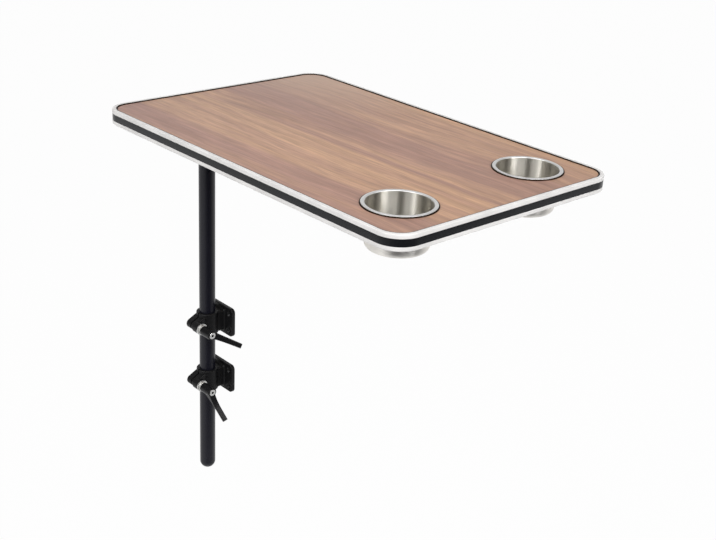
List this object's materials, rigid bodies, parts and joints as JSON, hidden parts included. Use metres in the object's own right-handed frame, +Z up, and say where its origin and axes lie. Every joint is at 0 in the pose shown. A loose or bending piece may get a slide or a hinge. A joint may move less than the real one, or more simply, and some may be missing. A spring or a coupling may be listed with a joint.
{
  "type": "single pole camper table",
  "caption": "Rounded rectangular table with sunk cup holders on a single pole that slides and swivels in wall clamps with indexing lever handles.",
  "frame": {"origin": "middle of the upper clamp's wall face", "axes": "+X along the table's long side away from the pole, +Y into the wall, +Z up along the pole"},
  "size_m": [0.612, 0.395, 0.6317],
  "materials": {
    "board_wood": "pinkish grey wood grain laminate, satin",
    "trim_silver": "silver white, soft gloss",
    "stripe_black": "satin black",
    "cup_steel": "brushed stainless",
    "pole_paint": "blue black powder coat",
    "fixing_steel": "zinc plated",
    "clamp_paint": "black powder coat",
    "liner_plastic": "black nylon",
    "bright_steel": "bright turned steel",
    "handle_paint": "dark satin coat",
    "spring_steel": "spring wire"
  },
  "bodies": {
    "wall_clamps": {"upper_clamp_body": "clamp_paint", "upper_clamp_nut": "fixing_steel", "upper_clamp_washer": "bright_steel", "lower_clamp_body": "clamp_paint", "lower_clamp_nut": "fixing_steel", "lower_clamp_washer": "bright_steel"},
    "pole_liners": {"upper_pole_liner": "liner_plastic", "lower_pole_liner": "liner_plastic"},
    "table": {"tabletop_board": "board_wood", "edge_trim": "trim_silver", "trim_insert": "stripe_black", "near_cup_holder": "cup_steel", "far_cup_holder": "cup_steel", "pole_tube": "pole_paint", "pole_end_cap": "pole_paint", "pole_flange": "pole_paint", "flange_screws": "fixing_steel"},
    "upper_lever": {"upper_lever_stud": "bright_steel", "upper_lever_screw": "bright_steel", "upper_lever_spring": "spring_steel"},
    "upper_handle": {"upper_lever_handle": "handle_paint"},
    "lower_lever": {"lower_lever_stud": "bright_steel", "lower_lever_screw": "bright_steel", "lower_lever_spring": "spring_steel"},
    "lower_handle": {"lower_lever_handle": "handle_paint"}
  },
  "joints": [
    {"name": "table_swivel", "type": "hinge", "parent": "wall_clamps", "child": "pole_liners", "pos_m": [0, -0.03, 0], "axis": [0, 0, 1], "continuous": true},
    {"name": "table_height", "type": "slide", "parent": "pole_liners", "child": "table", "axis": [0, 0, 1], "range_m": [-0.26, 0.12]},
    {"name": "upper_lever_turn", "type": "hinge", "parent": "wall_clamps", "child": "upper_lever", "pos_m": [0, -0.0542, 0], "axis": [1, 0, 0], "continuous": true},
    {"name": "upper_handle_lift", "type": "slide", "parent": "upper_lever", "child": "upper_handle", "axis": [1, 0, 0], "range_m": [0, 0.004], "stiffness_N_per_m": 2000, "springref_m": -0.003, "deforming": ["upper_lever_spring"]},
    {"name": "lower_lever_turn", "type": "hinge", "parent": "wall_clamps", "child": "lower_lever", "pos_m": [0, -0.0542, -0.101], "axis": [1, 0, 0], "continuous": true},
    {"name": "lower_handle_lift", "type": "slide", "parent": "lower_lever", "child": "lower_handle", "axis": [1, 0, 0], "range_m": [0, 0.004], "stiffness_N_per_m": 2000, "springref_m": -0.003, "deforming": ["lower_lever_spring"]}
  ]
}
